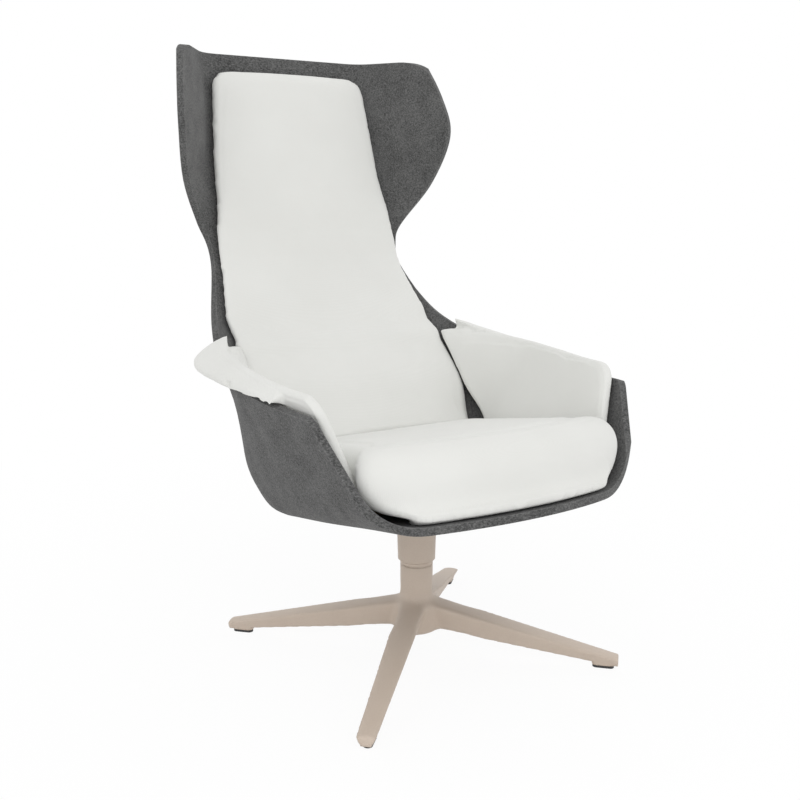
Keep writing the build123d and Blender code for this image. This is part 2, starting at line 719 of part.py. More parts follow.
def board_block(frame, margin, below):
    """Block of the seat board, grown by a margin and reaching below its underside."""
    outline = RectangleRounded(SEAT_BOARD_WIDTH + 2 * margin, SEAT_BOARD_DEPTH + 2 * margin, SEAT_BOARD_CORNER)
    return frame * Pos(0, SEAT_BOARD_Y, -below) * extrude(outline, SEAT_BOARD_THICKNESS + margin + below)


def tee_nut(frame, top, margin):
    """Tee nut whose flange lies on the board's top, grown by a margin."""
    flange = cylinder_at(frame, TEE_NUT_FLANGE_DIAMETER + 2 * margin, top, top + TEE_NUT_FLANGE + margin)
    barrel = cylinder_at(frame, TEE_NUT_BARREL_DIAMETER + 2 * margin, top - TEE_NUT_BARREL - margin, top)
    return flange + barrel


def leg_wire(r, width, top_z, depth):
    """Outline of a leg across its length: a crowned top and sides that draw in to a narrow underside."""
    corners = [(-width / 2, top_z), (width / 2, top_z)]
    bottom = [(LEG_BOTTOM_WIDTH / 2, top_z - depth), (-LEG_BOTTOM_WIDTH / 2, top_z - depth)]
    points = [Vector(r, y, z) for y, z in corners + bottom]
    edges = [
        Edge.make_three_point_arc(points[0], Vector(r, 0, top_z + LEG_CROWN), points[1]),
        Edge.make_line(points[1], points[2]),
        Edge.make_line(points[2], points[3]),
        Edge.make_line(points[3], points[0]),
    ]
    return Wire(edges)


def make_leg():
    """One leg along +X with a rounded tip and the boss for its glide."""
    root = leg_wire(LEG_ROOT_R, LEG_ROOT_WIDTH, LEG_ROOT_TOP_Z, LEG_ROOT_DEPTH)
    tip = leg_wire(LEG_REACH, LEG_TIP_WIDTH, LEG_TIP_TOP_Z, LEG_TIP_DEPTH)
    bar = Solid.make_loft([root, tip], ruled=True)
    plan = Rectangle(LEG_REACH, LEG_ROOT_WIDTH, align=(Align.MIN, Align.CENTER))
    edge_y = LEG_TIP_WIDTH / 2
    cap = make_face(Polyline((0, -FAR), (LEG_REACH, -edge_y), (LEG_REACH, edge_y), (0, FAR), close=True))
    for y in (-edge_y, edge_y):
        cap = fillet(cap.vertices().sort_by_distance((LEG_REACH, y))[0], LEG_TIP_RADIUS)
    bar = bar & extrude(plan & cap, FAR)
    outline = SlotOverall(GLIDE_LENGTH + 2 * FOOT_BOSS_MARGIN, GLIDE_WIDTH + 2 * FOOT_BOSS_MARGIN)
    boss = Pos(glide_r(), 0, GLIDE_THICKNESS) * extrude(outline, FOOT_BOSS_TOP_Z - GLIDE_THICKNESS)
    return bar + boss


def glide_r():
    """Distance of a glide's middle from the swivel axis."""
    return LEG_REACH - GLIDE_SETBACK - GLIDE_LENGTH / 2


def leg_turn(i):
    return Rot(0, 0, 360 * (i + 0.5) / LEG_COUNT)


def screw_frame():
    return Plane(origin=(glide_r(), 0, 0))


def make_glide():
    """One glide along +X, with a countersunk screw hole."""
    pad = Pos(glide_r(), 0, 0) * extrude(SlotOverall(GLIDE_LENGTH, GLIDE_WIDTH), GLIDE_THICKNESS)
    head = cylinder_at(screw_frame(), SCREW_HEAD_DIAMETER + SCREW_PLAY, 0, SCREW_HEAD_RECESS + SCREW_HEAD_HEIGHT)
    shank = cylinder_at(screw_frame(), SCREW_DIAMETER + SCREW_PLAY, 0, GLIDE_THICKNESS)
    return pad - head - shank


def make_screw():
    head_top = SCREW_HEAD_RECESS + SCREW_HEAD_HEIGHT
    head = cylinder_at(screw_frame(), SCREW_HEAD_DIAMETER, SCREW_HEAD_RECESS, head_top)
    return head + cylinder_at(screw_frame(), SCREW_DIAMETER, head_top, head_top + SCREW_LENGTH)


def make_hub():
    """Hub and lower column of the casting, as one turned form."""
    hub_r = COLUMN_DIAMETER / 2 + HUB_FILLET
    column_r = COLUMN_DIAMETER / 2
    fillet_top = LEG_ROOT_TOP_Z + HUB_FILLET
    middle = (hub_r - HUB_FILLET * math.sqrt(0.5), fillet_top - HUB_FILLET * math.sqrt(0.5))
    with BuildSketch(Plane.XZ) as profile:
        with BuildLine():
            Polyline((0, HUB_BOTTOM_Z), (hub_r, HUB_BOTTOM_Z), (hub_r, LEG_ROOT_TOP_Z))
            ThreePointArc((hub_r, LEG_ROOT_TOP_Z), middle, (column_r, fillet_top))
            Polyline(
                (column_r, fillet_top),
                (column_r, SEAM_Z - SEAM_CHAMFER),
                (column_r - SEAM_CHAMFER, SEAM_Z),
                (0, SEAM_Z),
                (0, HUB_BOTTOM_Z),
            )
        make_face()
    return revolve(profile.sketch, Axis.Z)


def stack(pieces):
    """Group the pieces that belong to one node."""
    return Compound(children=[solid for piece in pieces for solid in piece.solids()])


# The shell and what is fixed to it
frame = make_plate_frame()
board_frame = frame.offset(board_level(frame))
bolts_at = bolt_frames(frame)
board_top = board_level(frame) + SEAT_BOARD_THICKNESS
back_clips_at = back_clip_frames()
arm_clips_at = arm_clip_frames()

shell = make_shell()
seat_plate = frame * Pos(0, 0, -PLATE_THICKNESS) * extrude(
    RectangleRounded(PLATE_WIDTH, PLATE_DEPTH, PLATE_CORNER), PLATE_THICKNESS
)
seat_board = board_block(board_frame, 0, 0)
cushion = Solid.make_loft([cushion_wire(layer) for layer in CUSHION_LAYERS])
cushion -= board_block(board_frame, CLEARANCE, SHELL_THICKNESS)
bolts = []
tee_nuts = []
for place in bolts_at:
    hole = cylinder_at(place, BOLT_DIAMETER + 2 * BOLT_HOLE_CLEARANCE, -PLATE_THICKNESS, board_top)
    shell -= hole
    seat_plate -= hole
    seat_board -= tee_nut(place, board_top, PRESS_GAP)
    seat_board -= hole
    cushion -= tee_nut(place, board_top, CLEARANCE)
    head = cylinder_at(place, BOLT_HEAD_DIAMETER, -PLATE_THICKNESS - BOLT_HEAD_HEIGHT, -PLATE_THICKNESS)
    bolts.append(head + cylinder_at(place, BOLT_DIAMETER, -PLATE_THICKNESS, board_top))
    bore = cylinder_at(place, BOLT_DIAMETER + 2 * PRESS_GAP, -FAR, FAR)
    tee_nuts.append(tee_nut(place, board_top, 0) - bore)

back_pad = make_back_pad()
back_board = make_back_board()
for place in back_clips_at:
    room = clip_room(place)
    shell -= room
    back_pad -= room
    back_board -= room

arm_pad = make_arm_pad()
arm_core = make_arm_core()
arm_clips = []
for place in arm_clips_at:
    room = clip_room(place)
    shell = shell - room - left_of(room)
    arm_pad -= room
    arm_core -= room
    arm_clips += [clip(place), left_of(clip(place))]

# The swivel
bush_inner = SPINDLE_DIAMETER + 2 * RUNNING_CLEARANCE
bush_outer = bush_inner + 2 * BUSH_WALL
spigot_z = SEAM_Z - SPIGOT_LENGTH
column_tube = (
    ring(COLUMN_DIAMETER, bush_outer + 2 * PRESS_GAP, SEAM_Z, COLUMN_TOP_Z)
    + ring(SPIGOT_DIAMETER, bush_outer + 2 * PRESS_GAP, spigot_z, SEAM_Z)
)
upper_bush = (
    ring(bush_outer, bush_inner, COLUMN_TOP_Z - BUSH_LENGTH, COLUMN_TOP_Z)
    + ring(BUSH_FLANGE_DIAMETER, bush_inner, COLUMN_TOP_Z, COLUMN_TOP_Z + BUSH_FLANGE)
)
lower_bush = (
    ring(bush_outer, bush_inner, spigot_z, spigot_z + BUSH_LENGTH)
    + ring(BUSH_FLANGE_DIAMETER, bush_inner, spigot_z - BUSH_FLANGE, spigot_z)
)
washer_z = COLUMN_TOP_Z + BUSH_FLANGE
thrust_washer = ring(THRUST_WASHER_DIAMETER, bush_inner, washer_z, washer_z + THRUST_WASHER_THICKNESS)
shoulder_z = washer_z + THRUST_WASHER_THICKNESS + AXIAL_PLAY
retainer_z = spigot_z - BUSH_FLANGE - AXIAL_PLAY
nut_z = retainer_z - RETAINING_WASHER_THICKNESS
retaining_washer = ring(
    RETAINING_WASHER_DIAMETER, THREAD_DIAMETER + 2 * PRESS_GAP, nut_z, retainer_z
)
retaining_nut = Pos(0, 0, nut_z - NUT_HEIGHT) * extrude(
    RegularPolygon(NUT_ACROSS_FLATS / 2, 6, major_radius=False), NUT_HEIGHT
)
retaining_nut -= cylinder_at(Plane.XY, THREAD_DIAMETER + 2 * PRESS_GAP, 0, FAR)
under_plate = frame * Pos(0, 0, -PLATE_THICKNESS) * Box(
    FAR, FAR, FAR, align=(Align.CENTER, Align.CENTER, Align.MIN)
)
spindle = (
    cylinder_at(Plane.XY, THREAD_DIAMETER, retainer_z - THREAD_LENGTH, retainer_z)
    + cylinder_at(Plane.XY, SPINDLE_DIAMETER, retainer_z, FAR)
    + cylinder_at(Plane.XY, SHOULDER_DIAMETER, shoulder_z, shoulder_z + SHOULDER_HEIGHT)
)
spindle -= under_plate
sleeve_height = frame.origin.Z - SLEEVE_BOTTOM_Z
sleeve = Pos(0, 0, SLEEVE_BOTTOM_Z) * Cone(
    SLEEVE_DIAMETER / 2, SLEEVE_TOP_DIAMETER / 2, sleeve_height, align=(Align.CENTER, Align.CENTER, Align.MIN)
)
sleeve = chamfer(sleeve.edges().sort_by(Axis.Z)[0], SLEEVE_CHAMFER)
sleeve = sleeve - cylinder_at(Plane.XY, COLUMN_DIAMETER + 2 * SLEEVE_GAP, 0, FAR) - under_plate

# The star base
star_base = make_hub()
glides = []
screws = []
for i in range(LEG_COUNT):
    star_base += leg_turn(i) * make_leg()
    glides.append(leg_turn(i) * make_glide())
    screws.append(leg_turn(i) * make_screw())
star_base -= cylinder_at(Plane.XY, SPIGOT_DIAMETER + 2 * PRESS_GAP, spigot_z, FAR)
star_base -= cylinder_at(Plane.XY, HUB_RECESS_DIAMETER, 0, spigot_z)
screw_room = cylinder_at(screw_frame(), SCREW_DIAMETER + 2 * PRESS_GAP, 0, SCREW_LENGTH + GLIDE_THICKNESS)
for i in range(LEG_COUNT):
    star_base -= leg_turn(i) * screw_room
hub_cover = cylinder_at(
    Plane.XY, HUB_RECESS_DIAMETER - 2 * COVER_GAP, HUB_BOTTOM_Z, HUB_BOTTOM_Z + COVER_THICKNESS
)

PIECES = {
    "outer_shell": shell,
    "seat_cushion": cushion,
    "back_pad": back_pad,
    "arm_pad_left": left_of(arm_pad),
    "arm_pad_right": arm_pad,
    "seat_board": seat_board,
    "back_board": back_board,
    "arm_core_left": left_of(arm_core),
    "arm_core_right": arm_core,
    "back_clips": stack([clip(place) for place in back_clips_at]),
    "arm_clips": stack(arm_clips),
    "seat_plate": seat_plate,
    "plate_bolts": stack(bolts),
    "tee_nuts": stack(tee_nuts),
    "column_sleeve": sleeve,
    "spindle": spindle,
    "retaining_washer": retaining_washer,
    "retaining_nut": retaining_nut,
    "star_base": star_base,
    "column_tube": column_tube,
    "upper_bush": upper_bush,
    "lower_bush": lower_bush,
    "thrust_washer": thrust_washer,
    "hub_cover": hub_cover,
    "glide_rear_right": glides[0],
    "glide_rear_left": glides[1],
    "glide_front_left": glides[2],
    "glide_front_right": glides[3],
    "glide_screws": stack(screws),
}
for node, piece in PIECES.items():
    export_step(piece, "parts/" + node + ".step")
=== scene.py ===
"""A swivel lounge chair: felt shell, padded seat, back and arms, and a powder coated star base."""

import math

import bpy
import numpy as np
from bpy.props import FloatProperty, FloatVectorProperty, IntProperty, PointerProperty
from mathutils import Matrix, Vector
from mathutils.bvhtree import BVHTree


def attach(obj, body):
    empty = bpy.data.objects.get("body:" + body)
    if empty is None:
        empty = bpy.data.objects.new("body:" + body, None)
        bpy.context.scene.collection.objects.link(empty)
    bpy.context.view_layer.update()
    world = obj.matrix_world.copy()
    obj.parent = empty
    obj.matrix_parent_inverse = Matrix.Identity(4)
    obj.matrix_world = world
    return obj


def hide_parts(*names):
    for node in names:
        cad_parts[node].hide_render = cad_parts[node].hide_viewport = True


bl_info = {
    "name": "Swivel Lounge Chair",
    "version": (1, 0, 0),
    "blender": (4, 5, 0),
    "location": "3D View > Sidebar > Lounge Chair",
    "description": "Dresses a swivel lounge chair in felt, padded covers and powder coat",
    "category": "Object",
}

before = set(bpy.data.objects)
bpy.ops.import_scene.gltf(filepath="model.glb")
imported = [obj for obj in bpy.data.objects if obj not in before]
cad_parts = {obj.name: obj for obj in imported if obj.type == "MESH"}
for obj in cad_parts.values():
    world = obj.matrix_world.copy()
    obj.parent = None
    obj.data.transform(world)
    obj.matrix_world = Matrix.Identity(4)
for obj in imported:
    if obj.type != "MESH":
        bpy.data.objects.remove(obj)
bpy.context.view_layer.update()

COVER_NAME = "off_white_cover"
SEAT_BODY = "seat"
BASE_BODY = "base"
WHITE = (1.0, 1.0, 1.0, 1.0)

# Making of the meshes, with the shares of the allowed depth at which a cover settles
MERGE_DISTANCE = 1e-6
SMOOTHING = 0.5
REFINING = 1
CLOTH_QUALITY = 5
CLOTH_EVENING = 8
SETTLING = (0.5, 1.0)

# Sockets of the Mix node for colours
MIX_SHARE = 0
MIX_FIRST = 6
MIX_SECOND = 7
MIX_RESULT = 2

# Edges, and the range that most of a noise lies in
EDGE_SAMPLES = 6
EDGE_RANGE = (1.0, 0.8)
NOISE_RANGE = (0.3, 0.7)

# Felt: sizes, ranges with the share of pale fibre that they give, and relief as depth and strength
FIBRE_TURNS = ((0.3, 0.5, 0.2), (1.1, 0.2, 1.3), (0.6, 1.4, 2.3))
CLUMP_SIZE = 0.0034
PATCH_SIZE = 0.045
CLUMP_SHARE = ((0.32, 0.70), (0.06, 0.60))
FIBRE_SHARE = ((0.52, 0.80), (0.0, 0.60))
FLECK_SHARE = ((0.70, 0.80), (0.0, 0.5))
PATCH_SHARE = (NOISE_RANGE, (-0.16, 0.06))
RIM_SHARE = ((0.0, 1.0), (0.0, 0.3))
FELT_RELIEF = (0.0006, 0.55)

# Cover: the same for the share of the paler raised yarn, against the painted shade in the weave's hollows
SLUB_SIZE = 0.005
COVER_CLOUD = 0.16
CROSSING_RANGE = (-2.0, 4.0)
YARN_SHADE_SHARE = ((0.0, 1.0), (0.0, 0.5))
COVER_CLOUD_SHARE = (NOISE_RANGE, (0.0, 0.5))
COVER_DULLNESS = (NOISE_RANGE, (0.76, 0.88))
COVER_RELIEF = (0.00018, 0.6)

# Powder coat: the same for the share of the paler specks
PEBBLE_SIZE = 0.0016
COAT_CLOUD = 0.06
PEBBLE_SHARE = ((0.35, 0.75), (0.0, 0.6))
COAT_CLOUD_SHARE = (NOISE_RANGE, (0.0, 0.4))
COAT_DULLNESS = (NOISE_RANGE, (0.46, 0.56))
COAT_RELIEF = (0.00012, 0.5)

# Plastic
SPARK_SIZE = 0.0007
SPARK_DULLNESS = (-0.08, 0.08)
FLOW_SIZE = 0.03
FLOW_GAIN = 1.25
FLOW_LIFT = 0.004
PLASTIC_RELIEF = (0.00005, 0.5)

# Metal
SCRATCH_TURN = (0.0, 0.0, 0.3)
SCRATCH_SCALE = (2500.0, 2500.0, 120.0)
SCRATCH_DULLNESS = (-0.08, 0.10)
METAL_CLOUD = 0.012
METAL_CLOUD_SHADE = 0.82
METAL_RELIEF = (0.00002, 0.4)

# Plywood
GRAIN_SCALE = (18.0, 400.0, 400.0)
LAYER_SCALE = 45.0
LAYER_DISTORTION = 1.5
GRAIN_SHARE = (NOISE_RANGE, (0.0, 0.6))
LAYER_SHARE = ((0.0, 1.0), (0.0, 0.4))
PLY_RELIEF = (0.0002, 0.5)

# Studio: sizes and places in metres, and the sensor in millimetres
FLOOR_SIZE = 60.0
FADE_RANGE = (0.7, 1.8)
LAMP_AIM = (0.0, 0.05, 0.55)
KEY_SIZE = 3.0
KEY_PLACE = (-1.5, -3.0, 3.3)
RIM_SIZE = 2.5
RIM_PLACE = (2.6, 1.6, 2.6)
SENSOR_WIDTH = 36.0


def colour(name, description, default):
    """A colour that a user may change."""
    return FloatVectorProperty(
        name=name, description=description, default=default, subtype="COLOR", min=0.0, max=1.0
    )


def length(name, description, default):
    """A length in metres that a user may change."""
    return FloatProperty(
        name=name, description=description, default=default, min=0.0, subtype="DISTANCE", unit="LENGTH",
        precision=4,
    )


class ChairFinishes(bpy.types.PropertyGroup):
    """Colours and grain of the chair's materials."""

    felt_dark: colour("Felt dark", "Dark fibres of the pressed felt", (0.036, 0.036, 0.036))
    felt_light: colour("Felt light", "Pale fibres of the pressed felt", (0.185, 0.185, 0.183))
    cover: colour("Cover", "Off-white cloth of the pads", (0.755, 0.757, 0.733))
    # The cloth's colour in the weave's hollows, made darker as painted shade
    cover_painted_shade: colour("Cover shade", "Yarn in the hollows of the cloth", (0.70, 0.702, 0.675))
    powder_coat: colour("Powder coat", "Sand coating of the base and column", (0.56, 0.465, 0.385))
    powder_speck: colour("Powder coat speck", "Paler specks in the coating", (0.62, 0.525, 0.44))
    glide_plastic: colour("Glide plastic", "Black plastic of the glides", (0.018, 0.018, 0.019))
    clip_plastic: colour("Clip plastic", "Grey plastic of the pad clips", (0.06, 0.06, 0.062))
    bush_plastic: colour("Bush plastic", "Ivory bearing plastic", (0.69, 0.65, 0.56))
    ply_pale: colour("Ply pale", "Pale layers of the boards", (0.52, 0.37, 0.21))
    ply_dark: colour("Ply dark", "Dark layers of the boards", (0.36, 0.23, 0.115))
    steel: colour("Steel", "Zinc plated fasteners", (0.56, 0.57, 0.58))
    dark_steel: colour("Dark steel", "Black coated seat plate", (0.022, 0.022, 0.023))
    thread_pitch: length("Thread pitch", "Distance between the yarns of the cover", 0.0014)
    fibre_length: length("Fibre length", "Length of a fibre streak in the felt", 0.006)
    fibre_width: length("Fibre width", "Width of a fibre streak in the felt", 0.0012)
    felt_edge: length("Felt edge", "Width of the paler band along the felt's cut edges", 0.003)
    cast_edge: length("Cast edge", "Rounding of the cast base's edges", 0.006)


class ChairPadding(bpy.types.PropertyGroup):
    """How the pads are stuffed."""

    seat_grid: length("Seat grid", "Size of the cloth's squares on the seat cushion", 0.005)
    back_grid: length("Back grid", "Size of the cloth's squares on the back pad", 0.005)
    arm_grid: length("Arm grid", "Size of the cloth's squares on the arm pads", 0.003)
    slack: length("Slack", "How much smaller than its room a cover is cut", 0.0015)
    seat_swell: length("Seat swell", "Most that the seat's cover is pushed out", 0.008)
    back_swell: length("Back swell", "Most that the back's cover is pushed out", 0.006)
    arm_swell: length("Arm swell", "Most that an arm's cover is pushed out", 0.005)
    short: length("Short", "Most that a big pad's cover stays back in its room", 0.0012)
    arm_short: length("Arm short", "Most that an arm's cover stays back in its room", 0.0035)
    proud: length("Proud", "Most that a cover stands out of its room", 0.0002)
    pressure: FloatProperty(
        name="Pressure", description="Push of the stuffing on the cover", default=4.0, min=0.0
    )
    frames: IntProperty(name="Frames", description="Steps of the stuffing", default=20, min=1)
    evening: IntProperty(
        name="Evening", description="Rounds that even a big pad's cover out", default=2, min=0
    )
    arm_evening: IntProperty(
        name="Arm evening", description="Rounds that even an arm's cover out", default=12, min=0
    )


class ChairCasting(bpy.types.PropertyGroup):
    """How the star base is cast."""

    grid: length("Casting grid", "Size of the squares of the cast base", 0.003)
    bore: length("Bore", "Reach from the axis inside which the bore stays sharp", 0.027)
    blend_reach: length("Blend reach", "Width over which the hub's softening fades", 0.030)
    blend_end: length("Blend end", "Reach from the axis at which the hub's softening ends", 0.120)
    blend_top: length("Blend top", "Height at which the hub's softening ends", 0.140)
    edge_rounds: IntProperty(
        name="Edge rounds", description="Rounds that soften the legs' edges", default=3, min=0
    )
    hub_rounds: IntProperty(
        name="Hub rounds", description="Rounds that soften the hub", default=45, min=0
    )


class ChairStudio(bpy.types.PropertyGroup):
    """Where the chair is seen from and how it is lit."""

    camera_place: FloatVectorProperty(
        name="Camera place", description="Where the camera stands", default=(-0.9528, -1.4657, 0.8173),
        subtype="TRANSLATION", unit="LENGTH",
    )
    camera_turn: FloatProperty(
        name="Camera turn", description="Camera's turn about the upright axis",
        default=math.radians(-32.04), subtype="ANGLE", unit="ROTATION",
    )
    camera_dip: FloatProperty(
        name="Camera dip", description="How far the camera looks down", default=math.radians(11.3),
        subtype="ANGLE", unit="ROTATION",
    )
    lens: FloatProperty(
        name="Lens", description="Focal length on a 36 mm wide sensor, in millimetres", default=45.5
    )
    sky: FloatProperty(name="Sky", description="Light from all round", default=0.90, min=0.0)
    key: FloatProperty(name="Key", description="Power of the main soft box", default=46.0, unit="POWER")
    rim: FloatProperty(name="Rim", description="Power of the soft box behind", default=10.0, unit="POWER")
    shadow: FloatProperty(
        name="Shadow", description="How much of the shadow the floor shows", default=0.07, min=0.0, max=1.0
    )
    floor: colour("Floor", "Pale floor", (0.95, 0.95, 0.95))


class ChairSettings(bpy.types.PropertyGroup):
    """All settings of the lounge chair."""

    finishes: PointerProperty(type=ChairFinishes)
    padding: PointerProperty(type=ChairPadding)
    casting: PointerProperty(type=ChairCasting)
    studio: PointerProperty(type=ChairStudio)


class Finish:
    """A material under construction: its surface shader, and the nodes that feed it."""

    def __init__(self, name, **surface):
        self.material = bpy.data.materials.new(name)
        self.material.use_nodes = True
        self.tree = self.material.node_tree
        self.surface = self.tree.nodes["Principled BSDF"]
        self.place = self.node("ShaderNodeTexCoord").outputs["Object"]
        for socket, value in surface.items():
            self.feed(self.surface.inputs[socket.replace("_", " ")], value)

    def feed(self, socket, value):
        """Links a socket to another, or sets its value."""
        if isinstance(value, bpy.types.NodeSocket):
            self.tree.links.new(value, socket)
        else:
            socket.default_value = value

    def node(self, kind, inputs=None, **settings):
        """A new node with its settings and inputs."""
        node = self.tree.nodes.new(kind)
        for name, value in settings.items():
            setattr(node, name, value)
        for socket, value in (inputs or {}).items():
            self.feed(node.inputs[socket], value)
        return node

    def noise(self, size, detail=2.0, roughness=0.5, place=None):
        """Cloudy noise whose blots are about this size, from 0 to 1."""
        inputs = {
            "Vector": place or self.place, "Scale": 1.0 / size, "Detail": detail, "Roughness": roughness
        }
        return self.node("ShaderNodeTexNoise", inputs).outputs[0]

    def scaled(self, scale, turn=(0.0, 0.0, 0.0)):
        """The place on the piece, turned and scaled."""
        inputs = {"Vector": self.place, "Rotation": turn, "Scale": scale}
        return self.node("ShaderNodeMapping", inputs).outputs[0]

    def math(self, operation, first, second):
        """One sum on two numbers."""
        return self.node("ShaderNodeMath", {0: first, 1: second}, operation=operation).outputs[0]

    def dot(self, first, second):
        """Dot product of two vectors."""
        product = self.node("ShaderNodeVectorMath", {0: first, 1: second}, operation="DOT_PRODUCT")
        return product.outputs["Value"]

    def levels(self, value, source, target=(0.0, 1.0)):
        """A value spread from one range to another, held at both ends."""
        low, high = source
        to_low, to_high = target
        inputs = {"Value": value, "From Min": low, "From Max": high, "To Min": to_low, "To Max": to_high}
        return self.node("ShaderNodeMapRange", inputs).outputs[0]

    def mixed(self, share, first, second):
        """Two colours mixed by a share."""
        inputs = {MIX_SHARE: share, MIX_FIRST: opaque(first), MIX_SECOND: opaque(second)}
        return self.node("ShaderNodeMix", inputs, data_type="RGBA").outputs[MIX_RESULT]

    def rounded(self, radius):
        """The surface's direction with edges rounded off."""
        return self.node("ShaderNodeBevel", {"Radius": radius}, samples=EDGE_SAMPLES).outputs[0]

    def edges(self, radius):
        """1 at sharp edges, and 0 away from them."""
        flat = self.node("ShaderNodeNewGeometry").outputs["True Normal"]
        return self.levels(self.dot(flat, self.rounded(radius)), EDGE_RANGE)

    def paint(self, tone):
        """Gives the surface its colour."""
        self.feed(self.surface.inputs["Base Color"], tone)

    def dull(self, roughness):
        """Gives the surface its roughness."""
        self.feed(self.surface.inputs["Roughness"], roughness)

    def bump(self, height, relief, radius=0.0):
        """Raises the surface by a height from 0 to 1, on rounded edges if they have a radius."""
        depth, strength = relief
        inputs = {"Height": height, "Distance": depth, "Strength": strength}
        if radius:
            inputs["Normal"] = self.rounded(radius)
        self.feed(self.surface.inputs["Normal"], self.node("ShaderNodeBump", inputs).outputs[0])


def opaque(rgb):
    """A colour with full cover."""
    return (*rgb, 1.0)


def felt_finish(finishes):
    """Pressed grey felt: clumps, and streaks of pale and dark fibre that lie every way."""
    felt = Finish(
        "pressed_felt", Roughness=0.95, Specular_IOR_Level=0.15, Sheen_Weight=0.12, Sheen_Roughness=0.45
    )
    streak = (1.0 / finishes.fibre_length, 1.0 / finishes.fibre_width, 1.0 / finishes.fibre_width)
    streaks = [felt.noise(1.0, detail=1.0, place=felt.scaled(streak, turn)) for turn in FIBRE_TURNS]
    fibres = felt.math("MAXIMUM", felt.math("MAXIMUM", streaks[0], streaks[1]), streaks[2])
    clumps = felt.noise(CLUMP_SIZE, detail=3.0, roughness=0.62)
    patches = felt.noise(PATCH_SIZE, detail=3.0)
    share = felt.levels(clumps, *CLUMP_SHARE)
    for value, spread in (
        (fibres, FIBRE_SHARE),
        (fibres, FLECK_SHARE),
        (patches, PATCH_SHARE),
        (felt.edges(finishes.felt_edge), RIM_SHARE),
    ):
        share = felt.math("ADD", share, felt.levels(value, *spread))
    felt.paint(felt.mixed(share, finishes.felt_dark, finishes.felt_light))
    felt.bump(felt.math("ADD", clumps, fibres), FELT_RELIEF)
    return felt.material


def cover_finish(finishes):
    """Off-white woven cloth with a fine, even yarn, and painted shade in the hollows between the yarns."""
    cover = Finish(COVER_NAME, Specular_IOR_Level=0.25, Sheen_Weight=0.22, Sheen_Roughness=0.5)
    turn = 2.0 * math.pi / finishes.thread_pitch
    place = cover.scaled((turn, turn, turn))
    wave = cover.node("ShaderNodeVectorMath", {0: place}, operation="SINE").outputs[0]
    total = cover.dot(wave, (1.0, 1.0, 1.0))
    crossing = cover.math("SUBTRACT", cover.math("MULTIPLY", total, total), cover.dot(wave, wave))
    yarn = cover.levels(crossing, CROSSING_RANGE)
    slub = cover.noise(SLUB_SIZE)
    cloud = cover.noise(COVER_CLOUD)
    # Paler on the raised yarn and darker in the hollows between the yarns, as painted shade
    share = cover.math("ADD", cover.levels(yarn, *YARN_SHADE_SHARE), cover.levels(cloud, *COVER_CLOUD_SHARE))
    cover.paint(cover.mixed(share, finishes.cover_painted_shade, finishes.cover))
    cover.dull(cover.levels(slub, *COVER_DULLNESS))
    cover.bump(cover.math("ADD", yarn, slub), COVER_RELIEF)
    return cover.material


def powder_finish(finishes):
    """Sand powder coat: a dull, faintly pebbled skin on cast metal."""
    coat = Finish("sand_powder_coat")
    pebble = coat.noise(PEBBLE_SIZE)
    cloud = coat.noise(COAT_CLOUD, detail=3.0)
    share = coat.math("ADD", coat.levels(pebble, *PEBBLE_SHARE), coat.levels(cloud, *COAT_CLOUD_SHARE))
    coat.paint(coat.mixed(share, finishes.powder_coat, finishes.powder_speck))
    coat.dull(coat.levels(cloud, *COAT_DULLNESS))
    coat.bump(pebble, COAT_RELIEF, finishes.cast_edge)
    return coat.material


def plastic_finish(name, rgb, roughness):
    """Moulded plastic with a fine spark grain and faint flow marks."""
    plastic = Finish(name)
    grain = plastic.noise(SPARK_SIZE)
    flow = plastic.noise(FLOW_SIZE)
    lighter = tuple(min(1.0, channel * FLOW_GAIN + FLOW_LIFT) for channel in rgb)
    plastic.paint(plastic.mixed(plastic.levels(flow, NOISE_RANGE), rgb, lighter))
    plastic.dull(plastic.levels(grain, NOISE_RANGE, [roughness + change for change in SPARK_DULLNESS]))
    plastic.bump(grain, PLASTIC_RELIEF)
    return plastic.material


def metal_finish(name, rgb, roughness, metallic):
    """Metal with fine drawn scratches and a cloudy sheen."""
    metal = Finish(name, Metallic=metallic)
    drawn = metal.noise(1.0, place=metal.scaled(SCRATCH_SCALE, SCRATCH_TURN))
    cloud = metal.noise(METAL_CLOUD, detail=3.0)
    darker = tuple(channel * METAL_CLOUD_SHADE for channel in rgb)
    metal.paint(metal.mixed(metal.levels(cloud, NOISE_RANGE), darker, rgb))
    metal.dull(metal.levels(drawn, NOISE_RANGE, [roughness + change for change in SCRATCH_DULLNESS]))
    metal.bump(drawn, METAL_RELIEF)
    return metal.material


def ply_finish(finishes):
    """Plywood: long grain on the faces and pale and dark layers at the edges."""
    ply = Finish("raw_ply", Roughness=0.7)
    grain = ply.noise(1.0, detail=4.0, place=ply.scaled(GRAIN_SCALE))
    bands = {"Vector": ply.place, "Scale": LAYER_SCALE, "Distortion": LAYER_DISTORTION}
    layers = ply.node("ShaderNodeTexWave", bands, bands_direction="Z").outputs[1]
    share = ply.math("ADD", ply.levels(grain, *GRAIN_SHARE), ply.levels(layers, *LAYER_SHARE))
    ply.paint(ply.mixed(share, finishes.ply_dark, finishes.ply_pale))
    ply.bump(grain, PLY_RELIEF)
    return ply.material


def finish_nodes(nodes, material):
    """Gives CAD nodes a material on their own slots."""
    for node in nodes:
        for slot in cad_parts[node].material_slots:
            slot.material = material


def only(piece):
    """Makes one piece the only selected and active one."""
    bpy.ops.object.select_all(action="DESELECT")
    piece.select_set(True)
    bpy.context.view_layer.objects.active = piece


